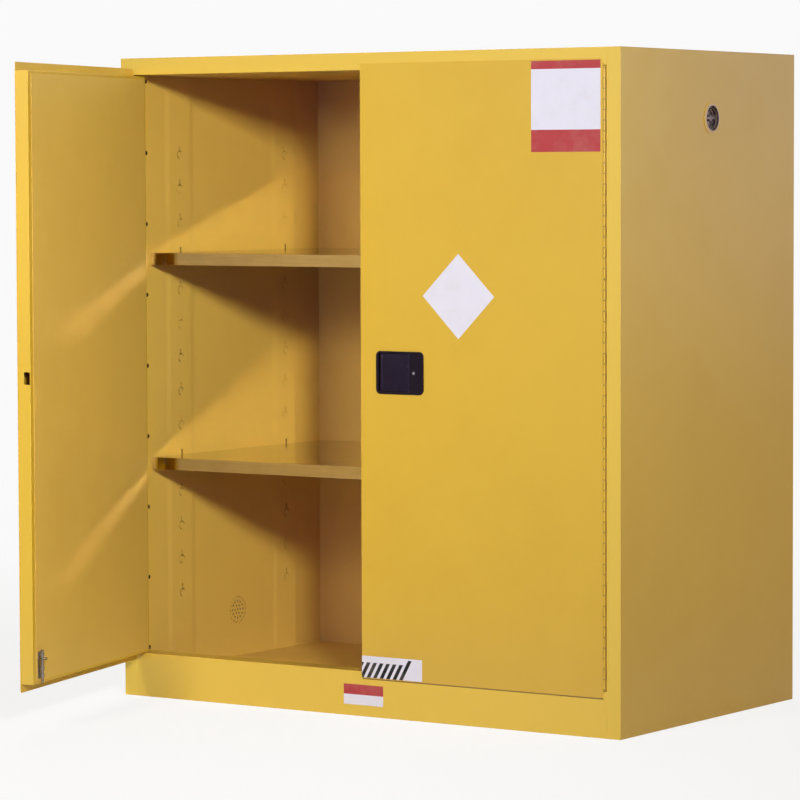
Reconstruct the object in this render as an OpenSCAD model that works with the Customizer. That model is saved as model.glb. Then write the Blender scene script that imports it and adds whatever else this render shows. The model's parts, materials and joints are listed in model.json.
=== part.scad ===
// Two-door safety storage cabinet in double-wall sheet steel, with two adjustable shelves.
// Millimetres. +Z up, the doors face -Y, and +X is to the right of someone who faces the doors.
// The origin is the middle of the base, on the floor. The left door stands open and the right one is shut.

/* [Cabinet shell] */
// Width over the side panels
cab_w = 1500; // [1200:10:1700]
// Depth from the front of the frame to the back panel
cab_d = 860; // [620:10:900]
// Height over the top panel
cab_h = 1650; // [1500:10:1900]
// Thickness of the outer sheet steel
sheet = 1.2; // [0.8:0.1:2]
// Width of the two stiles beside the opening
stile_w = 39; // [34:1:60]
// Height of the rail over the opening
rail_h = 43; // [38:1:70]
// Height of the sill under the opening
sill_h = 113; // [95:1:160]
// Depth of the folded returns round the opening
return_d = 58; // [54:1:80]
// Thickness of the plate that stands on the floor
base_t = 1.5; // [1:0.1:3]

/* [Inner lining] */
// Thickness of the lining sheets
liner_t = 1; // [0.8:0.1:1.6]
// Distance from the back panel's outer face to the lining
back_wall = 40; // [30:1:60]
// Height of the sump floor above the ground
sump_z = 58; // [30:1:80]
// Setback of the lining's front edge behind the frame's face
liner_setback = 45; // [38:1:45]
// Radius of a lining rivet's head
rivet_r = 4.5; // [3:0.1:6]
// Rivets up each side
rivet_count = 9; // [5:1:12]

/* [Shelf slots] */
// Height of the lowest slot mark
slot_first_z = 258; // [200:1:320]
// Gap from the highest slot mark to the top of the opening
slot_head = 198.5; // [150:0.5:260]
// Slot marks in a column
slot_count = 14; // [12:1:15]
// Front column's distance behind the frame's face
slot_front = 192; // [140:1:260]
// Rear column's distance before the back panel
slot_rear = 200; // [140:1:260]
// Width of the slit that takes a clip
slit_w = 5; // [4:0.1:7]
// Height of the slit
slit_h = 10; // [8:0.5:13]
// Outer radius of the hooked cut under the slit
mark_r = 12; // [9:0.5:14]
// Width of the hooked cut
mark_w = 3; // [2:0.1:4]
// Width of the raised strip that carries a column of marks
strip_w = 76; // [50:1:100]
// Height of the raised strip over the lining
strip_rise = 2; // [1.5:0.1:3]

/* [Shelves] */
// Slot mark that carries the upper shelf, counted from 0
upper_slot = 10; // [7:1:11]
// Slot mark that carries the lower shelf
lower_slot = 4; // [1:1:5]
// Height of a shelf's surface over its slot mark
shelf_rise = 5.5; // [3:0.5:12]
// Depth of the shelf's folded edges
shelf_lip = 31; // [24:1:32]
// Thickness of the shelf sheet
shelf_t = 1.2; // [0.8:0.1:2]
// Width of the turned-in foot of the front and rear edges
shelf_foot = 12; // [8:1:20]
// Gap between a shelf's end and the slotted strips
shelf_end_gap = 5; // [3.2:0.1:8]
// Gap between a shelf's rear edge and the lining
shelf_back_gap = 5; // [3:0.5:12]
// Setback of the shelf's front edge behind the frame's face
shelf_setback = 62; // [60:1:90]
// Width of a shelf clip
clip_w = 20; // [14:1:30]
// Thickness of a shelf clip
clip_t = 1.5; // [1:0.1:2]
// Reach of the clip's ledge from the strip
clip_reach = 14; // [12:0.5:18]

/* [Doors] */
// Depth of a door over all, without its inner cover
door_t = 34; // [33:1:40]
// Thickness of the door sheets
skin_t = 1.5; // [1:0.1:2]
// Gap between the door's face sheet and the frame's face
skin_gap = 0.5; // [0.3:0.1:1.5]
// Overlap of the face sheet on the rail
lap_top = 16; // [10:1:24]
// Overlap of the face sheet on the sill
lap_bottom = 16; // [10:1:24]
// Half of the gap between the two doors
meet_gap = 1.5; // [1.2:0.1:3]
// Gap above and below the door's box inside the opening
box_gap = 5; // [3:0.5:10]
// Radius of the face sheet's corners beside the hinge
skin_r = 11; // [2:0.5:14]
// Width of the flange that shows at the free edge, beside the inner cover
flange_w = 17; // [12:1:22]
// Margin of the inner cover at its other edges
cover_margin = 7; // [4:1:20]
// Angle at which the left door stands open
left_open = 75.7; // [0:0.1:170]

/* [Piano hinges] */
// Outer radius of a knuckle
knuckle_r = 4; // [3.6:0.1:5]
// Radius of the hinge pin
pin_r = 2; // [1.5:0.1:2.4]
// Thickness of a hinge leaf
leaf_t = 1.2; // [1:0.1:1.5]
// Width of a hinge leaf
leaf_w = 30; // [18:1:30]
// Knuckles on one hinge
knuckle_count = 59; // [40:1:70]
// Radial running clearance of the pin
pin_clear = 0.05; // [0.02:0.01:0.1]
// Gap between the knuckles and the door's edge
knuckle_clear = 0.4; // [0.3:0.1:1]

/* [Paddle latch] */
// Distance of the latch's middle from the door's free edge
paddle_in = 117.5; // [110:0.5:160]
// Height of the latch's middle
paddle_z = 861; // [800:1:940]
// Width of the latch's plate
plate_w = 140; // [136:1:160]
// Height of the latch's plate
plate_h = 106; // [96:1:130]
// Corner radius of the latch's plate
plate_r = 12; // [6:1:16]
// Thickness of the latch's plate in front of the door
plate_t = 3; // [2:0.5:4]
// Distance of the paddle's pin from the left end of the cup
pivot_in = 86; // [80:1:90]
// Gap for the fingers beside the paddle
finger_gap = 6; // [5:0.5:12]
// Radius of the paddle's barrel round its pin
barrel_r = 7.5; // [6:0.5:7.5]
// Angle to which the paddle pulls out
paddle_pull = 30; // [15:1:35]
// Radius of the lock's barrel
lock_r = 8; // [7:0.5:9]
// Radius of the lock's turning plug
plug_r = 5.5; // [4.5:0.5:6]

/* [Three-point latch] */
// Distance of the hub's axis from the latch's middle, towards the free edge
hub_off = 19; // [10:0.5:25]
// Radius of the circle on which the hub's drive pins stand
crank_r = 24; // [22:0.5:26]
// Angle through which the hub turns
hub_turn = 40; // [30:1:40]
// Radius of the two long rods
rod_r = 4; // [3:0.5:5]
// Height of the centre bolt
bolt_h = 16; // [12:1:18]
// Thickness of the centre bolt
bolt_t = 8; // [6:0.5:9]
// Width of the slot in the left door's edge
strike_w = 15; // [13:0.5:17]
// Height of the slot in the left door's edge
strike_h = 30; // [24:1:40]

/* [Slide bolt on the left door] */
// Distance of the bolt from the door's free edge
tower_in = 37; // [34:1:60]
// Width of the bolt's back plate
tower_w = 24; // [20:1:30]
// Height of the bolt's back plate
tower_h = 65; // [55:1:90]
// Height of the back plate over the door's lower edge
tower_rise = 13; // [8:1:24]
// Radius of the bolt
tower_r = 3.5; // [3:0.5:4]
// Travel of the bolt
tower_travel = 14; // [8:1:15]

/* [Vents] */
// Depth of the right side's vent under the top
vent_drop = 165; // [150:1:250]
// Height of the left side's vent
vent_low = 183; // [150:1:190]
// Distance of both vents behind the cabinet's middle
vent_y = 8; // [-40:1:40]
// Inner radius of the vent's tube
vent_r = 30; // [26:0.5:32]
// Wall of the vent's tube
vent_wall = 3; // [2:0.5:4]
// Radius of the collar on the side panel
collar_r = 42; // [38:1:48]
// Depth of the bung's face behind the collar
bung_sink = 5; // [2:0.5:8]
// Radius of one perforation in the lining
perf_r = 2.8; // [2:0.1:3.5]
// Distance from one ring of perforations to the next
perf_ring = 11.5; // [9:0.5:13]

/* [Earth stud] */
// Radius of the earth stud
stud_r = 4; // [3:0.5:5]
// Length of the stud outside the panel
stud_out = 25; // [20:1:32]
// Height of the stud
stud_z = 80; // [40:1:140]
// Distance of the stud before the back panel
stud_in = 90; // [60:1:160]

/* [Plates] */
// Thickness of the plain plates on the doors and the sill
label_t = 0.5; // [0.3:0.1:1]
// Width of the tall plate
notice_w = 194; // [150:1:200]
// Height of the tall plate
notice_h = 218; // [170:1:240]
// Width of the diamond plate over its corners
diamond_w = 208; // [160:1:230]
// Distance of the diamond's middle from the door's free edge
diamond_in = 289.5; // [220:0.5:400]
// Height of the diamond's middle
diamond_z = 1052; // [1020:1:1200]
// Width of the striped plate
stripe_w = 180; // [140:1:220]
// Height of the striped plate
stripe_h = 54; // [40:1:70]
// Width of the sill's plate
sill_plate_w = 119; // [90:1:140]
// Height of the sill's plate
sill_plate_h = 51; // [40:1:60]
// Gap between the doors' lower edge and the sill's plate
sill_plate_drop = 18; // [8:1:22]

/* [Hidden] */
$fn = 48;

yellow = "#e0b040";
yellow_dark = "#b98f3e";
steel = "#b9bcbf";
galvanised = "#b5a98a";
black = "#231a26";

cut = 1;                                  // how far a cutter runs past what it cuts
seat = 0.2;                               // gap between a moving piece and what it rests on
slide = 0.3;                              // gap round a sliding or turning piece

front_y = -cab_d / 2;
back_y = cab_d / 2;
side_x = cab_w / 2;
jamb_x = side_x - stile_w;                // inner faces of the opening
head_z = cab_h - rail_h;                  // top of the opening
vent_high = cab_h - vent_drop;
slot_pitch = (head_z - slot_head - slot_first_z) / (slot_count - 1);
inner_x = jamb_x - liner_t;               // faces of the side linings
strip_x = inner_x - strip_rise;           // faces of the slotted strips
inner_back = back_y - back_wall;
inner_top = head_z - liner_t;
liner_front = front_y + liner_setback;
sill_back = front_y + return_d;

skin_face = front_y - skin_gap - skin_t;  // outer face of a shut door
pan_front = skin_face + skin_t;
pan_back = skin_face + door_t;            // inner face of a shut door's box
cover_t = 1;
cover_back = pan_back + cover_t;
skin_bottom = sill_h - lap_bottom;
skin_top = head_z + lap_top;
box_bottom = sill_h + box_gap;
box_top = head_z - box_gap;
hinge_x = jamb_x - knuckle_r;             // hinge axes, at plus and minus this X
hinge_y = skin_face;
door_edge = hinge_x - knuckle_r - knuckle_clear;
pan_edge = meet_gap + 1;                  // free edge of a door's box

// Latch on the right door
paddle_x = meet_gap + paddle_in;
plate_face = skin_face - plate_t;
rim = 7;                                  // width of the latch's plate round its cup
cup_wall = 1.5;
flap_gap = 0.5;
lock_wall = 3.5;                          // metal between the cup and the lock's bore
cup_x0 = paddle_x - plate_w / 2 + rim;
flap_x0 = cup_x0 + finger_gap;
flap_x1 = cup_x0 + pivot_in;              // paddle's pivot
flap_h = plate_h - 2 * rim;
cup_half_h = flap_h / 2 + 1 + cup_wall;
flap_t = 5;
pivot_y = plate_face + barrel_r;
cup_back = pivot_y + barrel_r + flap_gap + cup_wall;
lock_x = flap_x1 + barrel_r + flap_gap + lock_wall + lock_r;
hub_x = paddle_x - hub_off;
hub_z = paddle_z - crank_r;
latch_plate_t = 2;
hub_front = cup_back + latch_plate_t + slide;
hub_t = 3;
hub_back = hub_front + hub_t;
crank_pin_r = 3;
yoke_t = 3;
yoke_front = hub_back + 1.2;
rod_y = yoke_front + rod_r;
crank_rest = hub_turn / 2;                // the pins start this far back from level
throw = 2 * crank_r * sin(crank_rest);    // travel of the rods and the bolt
crank_drop = crank_r * sin(crank_rest);
rod_top = box_top - 1;
rod_bottom = box_bottom + 1;
bolt_nose = pan_edge + 1;

// Slide bolt on the left door, in the shut door's place
tower_x = -(meet_gap + tower_in);
tower_z = box_bottom + tower_rise;
tower_plate_t = 1.5;
tower_y = cover_back + tower_plate_t + tower_r + 2;

shelf_upper_z = slot_z(upper_slot) + shelf_rise;
shelf_lower_z = slot_z(lower_slot) + shelf_rise;
slot_ys = [front_y + slot_front, back_y - slot_rear];

function slot_z(k) = slot_first_z + k * slot_pitch;

// ---------------------------------------------------------------- helpers

// A box between two corners
module block(lo, hi) {
  translate(lo) cube(hi - lo);
}

// A plate in the XZ plane with round corners, from its front face back to y1
module round_plate(x0, x1, z0, z1, y0, y1, r) {
  block([x0 + r, y0, z0], [x1 - r, y1, z1]);
  block([x0, y0, z0 + r], [x1, y1, z1 - r]);
  for (x = [x0 + r, x1 - r], z = [z0 + r, z1 - r])
    along_y(x, z, y0, y1, r);
}

module along_x(y, z, x0, x1, r) {
  translate([x0, y, z]) rotate([0, 90, 0]) cylinder(h = x1 - x0, r = r);
}

module along_y(x, z, y0, y1, r) {
  translate([x, y0, z]) rotate([-90, 0, 0]) cylinder(h = y1 - y0, r = r);
}

module along_z(x, y, z0, z1, r) {
  translate([x, y, z0]) cylinder(h = z1 - z0, r = r);
}

// Turns the shut left door's pieces about its hinge to where the door stands
module left_leaf() {
  translate([-hinge_x, hinge_y, 0]) rotate([0, 0, -left_open]) translate([hinge_x, -hinge_y, 0]) children();
}

// ---------------------------------------------------------------- outer shell

// Side panel, stile and jamb folded from one sheet, with the vent's hole; drawn for the right side
module side_shell(vent_z) {
  difference() {
    linear_extrude(cab_h - sheet)
      polygon([[side_x, front_y], [side_x, back_y], [side_x - sheet, back_y],
               [side_x - sheet, front_y + sheet], [jamb_x + sheet, front_y + sheet],
               [jamb_x + sheet, sill_back], [jamb_x, sill_back], [jamb_x, front_y]]);
    along_x(vent_y, vent_z, side_x - sheet - cut, side_x + cut, vent_r + vent_wall + slide);
  }
}

module side_shell_left() {
  color(yellow)
    difference() {
      mirror([1, 0, 0]) side_shell(vent_low);
      along_x(back_y - stud_in, stud_z, -side_x - cut, sheet - side_x + cut, stud_r + slide);
    }
}

module side_shell_right() {
  color(yellow_dark) side_shell(vent_high);
}

// Top panel, rail and the return under the rail, folded from one sheet
module top_shell() {
  color(yellow)
    difference() {
      union() {
        block([-side_x, front_y, cab_h - sheet], [side_x, back_y, cab_h]);
        block([-jamb_x, front_y, head_z], [jamb_x, front_y + sheet, cab_h]);
        block([-jamb_x, front_y, head_z], [jamb_x, sill_back, head_z + sheet]);
      }
      along_z(hub_x + crank_r, rod_y, head_z - cut, head_z + sheet + cut, rod_r + 1);
    }
}

module back_panel() {
  color(yellow_dark)
    block([sheet - side_x, back_y - sheet, 0], [side_x - sheet, back_y, cab_h - sheet]);
}

// Plate on the floor, narrower between the jambs' folded edges
module base_plate() {
  color(yellow_dark) {
    block([-jamb_x, front_y + sheet, 0], [jamb_x, sill_back, base_t]);
    block([sheet - side_x, sill_back, 0], [side_x - sheet, back_y - sheet, base_t]);
  }
}

// Sill: the skirt, the top that the doors shut over, and the sump's front wall
module front_sill() {
  color(yellow)
    difference() {
      union() {
        block([-jamb_x, front_y, 0], [jamb_x, front_y + sheet, sill_h]);
        block([-jamb_x, front_y, sill_h - sheet], [jamb_x, sill_back, sill_h]);
        block([-jamb_x, sill_back - sheet, sump_z - liner_t], [jamb_x, sill_back, sill_h]);
      }
      along_z(hub_x - crank_r, rod_y, sill_h - sheet - cut, sill_h + cut, rod_r + 1);
      along_z(tower_x, tower_y, sill_h - sheet - cut, sill_h + cut, tower_r + 1);
    }
}

// ---------------------------------------------------------------- lining

slit_rise = 9;                            // height of the slit's foot over the mark's middle
mark_drop = 6;                            // depth of the hooked cut's centre under the mark's middle

// One slot mark: a slit for the clip, over a hooked cut that is open downwards and to the rear
module slot_mark(y, z) {
  block([strip_x - cut, y - slit_w / 2, z + slit_rise],
        [jamb_x + cut, y + slit_w / 2, z + slit_rise + slit_h]);
  difference() {
    along_x(y, z - mark_drop, strip_x - cut, jamb_x + cut, mark_r);
    along_x(y, z - mark_drop, strip_x - 2 * cut, jamb_x + 2 * cut, mark_r - mark_w);
    block([strip_x - 2 * cut, y, z - mark_drop - mark_r - cut],
          [jamb_x + 2 * cut, y + mark_r + cut, z - mark_drop + mark_w]);
  }
}

// Rings of small holes behind a vent
module perforations(z) {
  for (ring = [0 : 3], step = [0 : max(0, 6 * ring - 1)]) {
    turn = ring == 0 ? 0 : step * 60 / ring;
    along_x(vent_y + ring * perf_ring * cos(turn), z + ring * perf_ring * sin(turn),
            inner_x - cut, jamb_x + cut, perf_r);
  }
}

rivet_y = (liner_front + sill_back) / 2;
rivet_shank_r = 2;
function rivet_z(k) = sill_h + 8 + k * (head_z - sill_h - 24) / (rivet_count - 1);

// Side lining, drawn for the right side; it laps the jamb, where the rivets hold it
module side_liner(vent_z) {
  difference() {
    block([inner_x, sill_back, sump_z], [jamb_x, inner_back, inner_top]);
    for (y = slot_ys, k = [0 : slot_count - 1])
      slot_mark(y, slot_z(k));
    perforations(vent_z);
  }
  difference() {
    block([inner_x, liner_front, sill_h], [jamb_x, sill_back, inner_top]);
    for (k = [0 : rivet_count - 1])
      along_x(rivet_y, rivet_z(k), inner_x - cut, jamb_x + cut, rivet_shank_r);
  }
}

// Two raised strips with the slot marks, on the right wall
module slot_strips() {
  wall = 1;
  color(yellow_dark)
    difference() {
      for (y = slot_ys)
        difference() {
          block([strip_x, y - strip_w / 2, sump_z], [inner_x, y + strip_w / 2, inner_top]);
          block([strip_x + wall, y - strip_w / 2 + wall, sump_z - cut],
                [inner_x + cut, y + strip_w / 2 - wall, inner_top + cut]);
        }
      for (y = slot_ys, k = [0 : slot_count - 1])
        slot_mark(y, slot_z(k));
    }
}

module slot_strips_left() {
  mirror([1, 0, 0]) slot_strips();
}

module slot_strips_right() {
  slot_strips();
}

module liner_left() {
  color(yellow_dark) mirror([1, 0, 0]) side_liner(vent_low);
}

module liner_right() {
  color(yellow_dark) side_liner(vent_high);
}

module liner_back() {
  color(yellow_dark)
    block([-jamb_x, inner_back, sump_z - liner_t], [jamb_x, inner_back + liner_t, inner_top]);
}

module liner_top() {
  color(yellow_dark)
    block([-jamb_x, liner_front, inner_top], [jamb_x, inner_back + liner_t, head_z]);
}

module sump_floor() {
  color(yellow_dark)
    block([-jamb_x, sill_back, sump_z - liner_t], [jamb_x, inner_back, sump_z]);
}

// Domed rivet through the lining and the jamb
module liner_rivets() {
  color("#6e5a30")
    for (side = [-1, 1], k = [0 : rivet_count - 1])
      translate([side * inner_x, rivet_y, rivet_z(k)]) rotate([0, -side * 90, 0]) {
        cylinder(h = 1.6, r1 = rivet_r, r2 = rivet_r - 1.4);
        translate([0, 0, -liner_t]) cylinder(h = liner_t, r = rivet_shank_r);
      }
}

// ---------------------------------------------------------------- shelves

module shelf(z) {
  x1 = strip_x - shelf_end_gap;
  y0 = front_y + shelf_setback;
  y1 = inner_back - shelf_back_gap;
  color(galvanised) {
    block([-x1, y0, z - shelf_t], [x1, y1, z]);
    for (y = [y0, y1 - shelf_t])
      block([-x1, y, z - shelf_lip], [x1, y + shelf_t, z]);
    for (x = [-x1, x1 - shelf_t])
      block([x, y0, z - shelf_lip], [x + shelf_t, y1, z]);
    block([-x1, y0, z - shelf_lip], [x1, y0 + shelf_foot, z - shelf_lip + shelf_t]);
    block([-x1, y1 - shelf_foot, z - shelf_lip], [x1, y1, z - shelf_lip + shelf_t]);
  }
}

module shelf_upper() {
  shelf(shelf_upper_z);
}

module shelf_lower() {
  shelf(shelf_lower_z);
}

// Clip hooked in a slit, with a ledge under the shelf's folded end; drawn for the right wall.
// Its plate is as narrow as the slit above the shelf.
module shelf_clip(y, z) {
  ledge = z - shelf_lip - seat;
  slit_z = z - shelf_rise + slit_rise;
  block([strip_x - seat - clip_t, y - clip_w / 2, ledge - clip_t], [strip_x - seat, y + clip_w / 2, z - shelf_t]);
  block([strip_x - seat - clip_t, y - slit_w / 2, ledge - clip_t],
        [strip_x - seat, y + slit_w / 2, slit_z + slit_h]);
  block([strip_x - clip_reach, y - clip_w / 2, ledge - clip_t], [strip_x - seat, y + clip_w / 2, ledge]);
  block([strip_x - seat, y - slit_w / 2 + slide, slit_z + slide],
        [jamb_x + 2, y + slit_w / 2 - slide, slit_z + slit_h - slide]);
}

module shelf_clips() {
  color(steel)
    for (side = [0, 1], y = slot_ys, z = [shelf_lower_z, shelf_upper_z])
      mirror([side, 0, 0]) shelf_clip(y, z);
}

// ---------------------------------------------------------------- piano hinges

knuckle_pitch = (box_top - box_bottom) / knuckle_count;
knuckle_gap = 0.5;

// One leaf of the right hinge: side 1 is the frame's leaf and side -1 the door's.
// A leaf carries every second knuckle and is notched for the others.
module hinge_leaf(side) {
  first = side == 1 ? 0 : 1;
  notch = knuckle_r + 0.6;
  x0 = side == 1 ? jamb_x - leaf_t : door_edge;
  color(yellow)
    difference() {
      union() {
        block([x0, hinge_y + notch, box_bottom], [x0 + leaf_t, hinge_y + leaf_w, box_top]);
        for (k = [first : 2 : knuckle_count - 1]) {
          z0 = box_bottom + k * knuckle_pitch;
          z1 = z0 + knuckle_pitch - knuckle_gap;
          along_z(hinge_x, hinge_y, z0, z1, knuckle_r);
          block([x0, hinge_y, z0], [x0 + leaf_t, hinge_y + notch + 1, z1]);
        }
      }
      along_z(hinge_x, hinge_y, box_bottom - cut, box_top + cut, pin_r + pin_clear);
    }
}

module hinge_pin() {
  color(steel) along_z(hinge_x, hinge_y, box_bottom + 1, box_top - 1, pin_r);
}

module hinge_frame_leaf_left() {
  mirror([1, 0, 0]) hinge_leaf(1);
}

module hinge_frame_leaf_right() {
  hinge_leaf(1);
}

module hinge_pin_left() {
  mirror([1, 0, 0]) hinge_pin();
}

module hinge_pin_right() {
  hinge_pin();
}

module hinge_door_leaf_left() {
  left_leaf() mirror([1, 0, 0]) hinge_leaf(-1);
}

module hinge_door_leaf_right() {
  hinge_leaf(-1);
}

// ---------------------------------------------------------------- doors

// Face sheet of a door, with round corners beside the hinge; drawn for the right side
module door_skin() {
  block([meet_gap, skin_face, skin_bottom], [door_edge - skin_r, pan_front, skin_top]);
  block([meet_gap, skin_face, skin_bottom + skin_r], [door_edge, pan_front, skin_top - skin_r]);
  for (z = [skin_bottom + skin_r, skin_top - skin_r])
    along_y(door_edge - skin_r, z, skin_face, pan_front, skin_r);
}

// Box behind the face sheet, open towards it; drawn for the right side
module door_pan() {
  difference() {
    block([pan_edge, pan_front, box_bottom], [door_edge, pan_back, box_top]);
    block([pan_edge + skin_t, pan_front - cut, box_bottom + skin_t],
          [door_edge - skin_t, pan_back - skin_t, box_top - skin_t]);
  }
}

// Inner sheet over the box's back
module door_cover() {
  block([pan_edge + flange_w, pan_back, box_bottom + cover_margin],
        [door_edge - cover_margin, cover_back, box_top - cover_margin]);
}

module door_skin_left() {
  color(yellow) left_leaf() mirror([1, 0, 0]) door_skin();
}

module door_skin_right() {
  color(yellow)
    difference() {
      door_skin();
      block([cup_x0 - cup_wall - slide, skin_face - cut, paddle_z - cup_half_h - slide],
            [paddle_x + plate_w / 2 - rim + slide, pan_front + cut, paddle_z + cup_half_h + slide]);
    }
}

module door_pan_left() {
  color(yellow) left_leaf() mirror([1, 0, 0])
    difference() {
      door_pan();
      block([pan_edge - cut, rod_y - strike_w / 2, paddle_z - strike_h / 2],
            [pan_edge + skin_t + cut, rod_y + strike_w / 2, paddle_z + strike_h / 2]);
    }
}

module door_pan_right() {
  color(yellow)
    difference() {
      door_pan();
      block([pan_edge - cut, rod_y - bolt_t / 2 - 0.5, paddle_z - bolt_h / 2 - 0.5],
            [pan_edge + skin_t + cut, rod_y + bolt_t / 2 + 0.5, paddle_z + bolt_h / 2 + 0.5]);
      along_z(hub_x + crank_r, rod_y, box_top - skin_t - cut, box_top + cut, rod_r + slide);
      along_z(hub_x - crank_r, rod_y, box_bottom - cut, box_bottom + skin_t + cut, rod_r + slide);
    }
}

module door_cover_left() {
  color(yellow) left_leaf() mirror([1, 0, 0]) door_cover();
}

module door_cover_right() {
  color(yellow) door_cover();
}

// ---------------------------------------------------------------- slide bolt

tower_loop_h = 9;
tower_wall = 1.6;

// Back plate with three loops round the bolt
module slide_bolt_plate() {
  color(steel) left_leaf()
    difference() {
      union() {
        block([tower_x - tower_w / 2, cover_back, tower_z],
              [tower_x + tower_w / 2, cover_back + tower_plate_t, tower_z + tower_h]);
        for (z = [tower_z + 3, tower_z + 3 + 1.8 * tower_loop_h, tower_z + tower_h - tower_loop_h - 3]) {
          along_z(tower_x, tower_y, z, z + tower_loop_h, tower_r + slide + tower_wall);
          block([tower_x - tower_r - slide - tower_wall, cover_back + tower_plate_t - 0.1, z],
                [tower_x + tower_r + slide + tower_wall, tower_y, z + tower_loop_h]);
        }
      }
      along_z(tower_x, tower_y, tower_z, tower_z + tower_h, tower_r + slide);
    }
}

// Four pan-head screws at the plate's corners
module slide_bolt_screws() {
  color(steel) left_leaf()
    for (x = [-1, 1], z = [6, tower_h - 6])
      along_y(tower_x + x * (tower_w / 2 - 3), tower_z + z,
              cover_back + tower_plate_t, cover_back + tower_plate_t + 1.2, 2.2);
}

// Bolt with the knob that slides it
module slide_bolt() {
  knob_z = tower_z + tower_h - tower_loop_h - 8;
  color(steel) left_leaf() {
    along_z(tower_x, tower_y, box_bottom + 1, tower_z + tower_h + 4, tower_r);
    along_y(tower_x, knob_z, tower_y, tower_y + 12, 2.4);
    along_y(tower_x, knob_z, tower_y + 9, tower_y + 12, 3.6);
  }
}

// ---------------------------------------------------------------- paddle latch

// Plate and cup of the latch, open in front for the paddle and bored for the lock
module paddle_housing() {
  x0 = paddle_x - plate_w / 2;
  x1 = paddle_x + plate_w / 2;
  z0 = paddle_z - flap_h / 2 - 1;
  z1 = paddle_z + flap_h / 2 + 1;
  color(black)
    difference() {
      union() {
        round_plate(x0, x1, paddle_z - plate_h / 2, paddle_z + plate_h / 2, plate_face, skin_face, plate_r);
        block([cup_x0 - cup_wall, skin_face, paddle_z - cup_half_h], [x1 - rim, cup_back, paddle_z + cup_half_h]);
      }
      block([cup_x0, plate_face - cut, z0], [flap_x1 + barrel_r + flap_gap, cup_back - cup_wall, z1]);
      along_y(lock_x, paddle_z, plate_face - cut, cup_back + cut, lock_r + 0.1);
      along_z(flap_x1, pivot_y, z0 - cup_wall - cut, z1 + cup_wall + cut, pin_r + pin_clear);
    }
}

// Paddle with its barrel and the raised edge that the fingers pull
module paddle_flap() {
  x0 = flap_x0;
  z0 = paddle_z - flap_h / 2;
  z1 = paddle_z + flap_h / 2;
  spring_h = 20;
  bead_r = 3.5;
  color(black)
    difference() {
      union() {
        block([x0, plate_face, z0], [flap_x1, plate_face + flap_t, z1]);
        along_z(flap_x1, pivot_y, z0, z1, barrel_r);
        along_z(x0 + bead_r, plate_face + 1, z0 + 8, z1 - 16, bead_r);
      }
      along_z(flap_x1, pivot_y, z0 - cut, z1 + cut, pin_r + pin_clear);
      along_z(flap_x1, pivot_y, paddle_z - spring_h / 2, paddle_z + spring_h / 2, pin_r + 2.5);
    }
}

module paddle_pin() {
  color(steel)
    along_z(flap_x1, pivot_y, paddle_z - flap_h / 2 - 2.4, paddle_z + flap_h / 2 + 2.4, pin_r);
}

// Return spring round the pin, inside the barrel
module paddle_spring() {
  color(steel)
    difference() {
      along_z(flap_x1, pivot_y, paddle_z - 9.7, paddle_z + 9.7, pin_r + 2);
      along_z(flap_x1, pivot_y, paddle_z - 9.7 - cut, paddle_z + 9.7 + cut, pin_r + 0.1);
    }
}

module lock_barrel() {
  color("#4a4a50")
    difference() {
      along_y(lock_x, paddle_z, plate_face - 0.5, cup_back + 1, lock_r);
      along_y(lock_x, paddle_z, plate_face - cut, cup_back + 1 + cut, plug_r + pin_clear);
    }
}

// Plug with the key slot
module lock_plug() {
  key_w = 1.4;
  key_h = 7;
  color(steel)
    difference() {
      along_y(lock_x, paddle_z, plate_face - 1, cup_back + 1.3, plug_r);
      block([lock_x - key_w / 2, plate_face - 1 - cut, paddle_z - key_h / 2],
            [lock_x + key_w / 2, plate_face + 8, paddle_z + key_h / 2]);
    }
}

cam_t = 2;
cam_len = 20;

// Cam on the plug's end, hanging down when unlocked
module lock_cam() {
  color(steel) {
    along_y(lock_x, paddle_z, cup_back + 1.3, cup_back + 1.3 + cam_t, plug_r + 0.5);
    block([lock_x - plug_r, cup_back + 1.3, paddle_z - cam_len],
          [lock_x + plug_r, cup_back + 1.3 + cam_t, paddle_z]);
  }
}

// ---------------------------------------------------------------- three-point latch

hub_r = crank_r + crank_pin_r + 3;
spindle_r = 4;

// Plate on the cup's back, with the hub's spindle
module latch_plate() {
  color(steel) {
    block([hub_x - hub_r, cup_back, hub_z - 12], [hub_x + hub_r, cup_back + latch_plate_t, hub_z + 12]);
    block([hub_x - 12, cup_back, hub_z - hub_r], [hub_x + 12, cup_back + latch_plate_t, hub_z + hub_r]);
    along_y(hub_x, hub_z, cup_back, hub_back + 3, spindle_r);
  }
}

// Place of a drive pin on the hub, with the bolts drawn in
function crank(a) = [hub_x + crank_r * cos(a - crank_rest), hub_z + crank_r * sin(a - crank_rest)];

// Hub with three drive pins: 0 for the top rod, 90 for the centre bolt, 180 for the bottom rod
module latch_hub() {
  color(steel)
    difference() {
      union() {
        along_y(hub_x, hub_z, hub_front, hub_back, hub_r);
        for (a = [0, 90, 180])
          along_y(crank(a)[0], crank(a)[1], hub_back - 0.1, yoke_front + yoke_t + 1, crank_pin_r);
      }
      along_y(hub_x, hub_z, hub_front - cut, hub_back + cut, spindle_r + pin_clear);
    }
}

yoke_play = 0.4;                          // clearance of a drive pin in its slot
yoke_rim = 2.5;
sweep = crank_r * (1 - cos(crank_rest));  // sideways drift of a drive pin in its slot
slot_half_h = crank_pin_r + yoke_play;
slot_half_w = crank_pin_r + yoke_play + sweep / 2;

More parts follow.
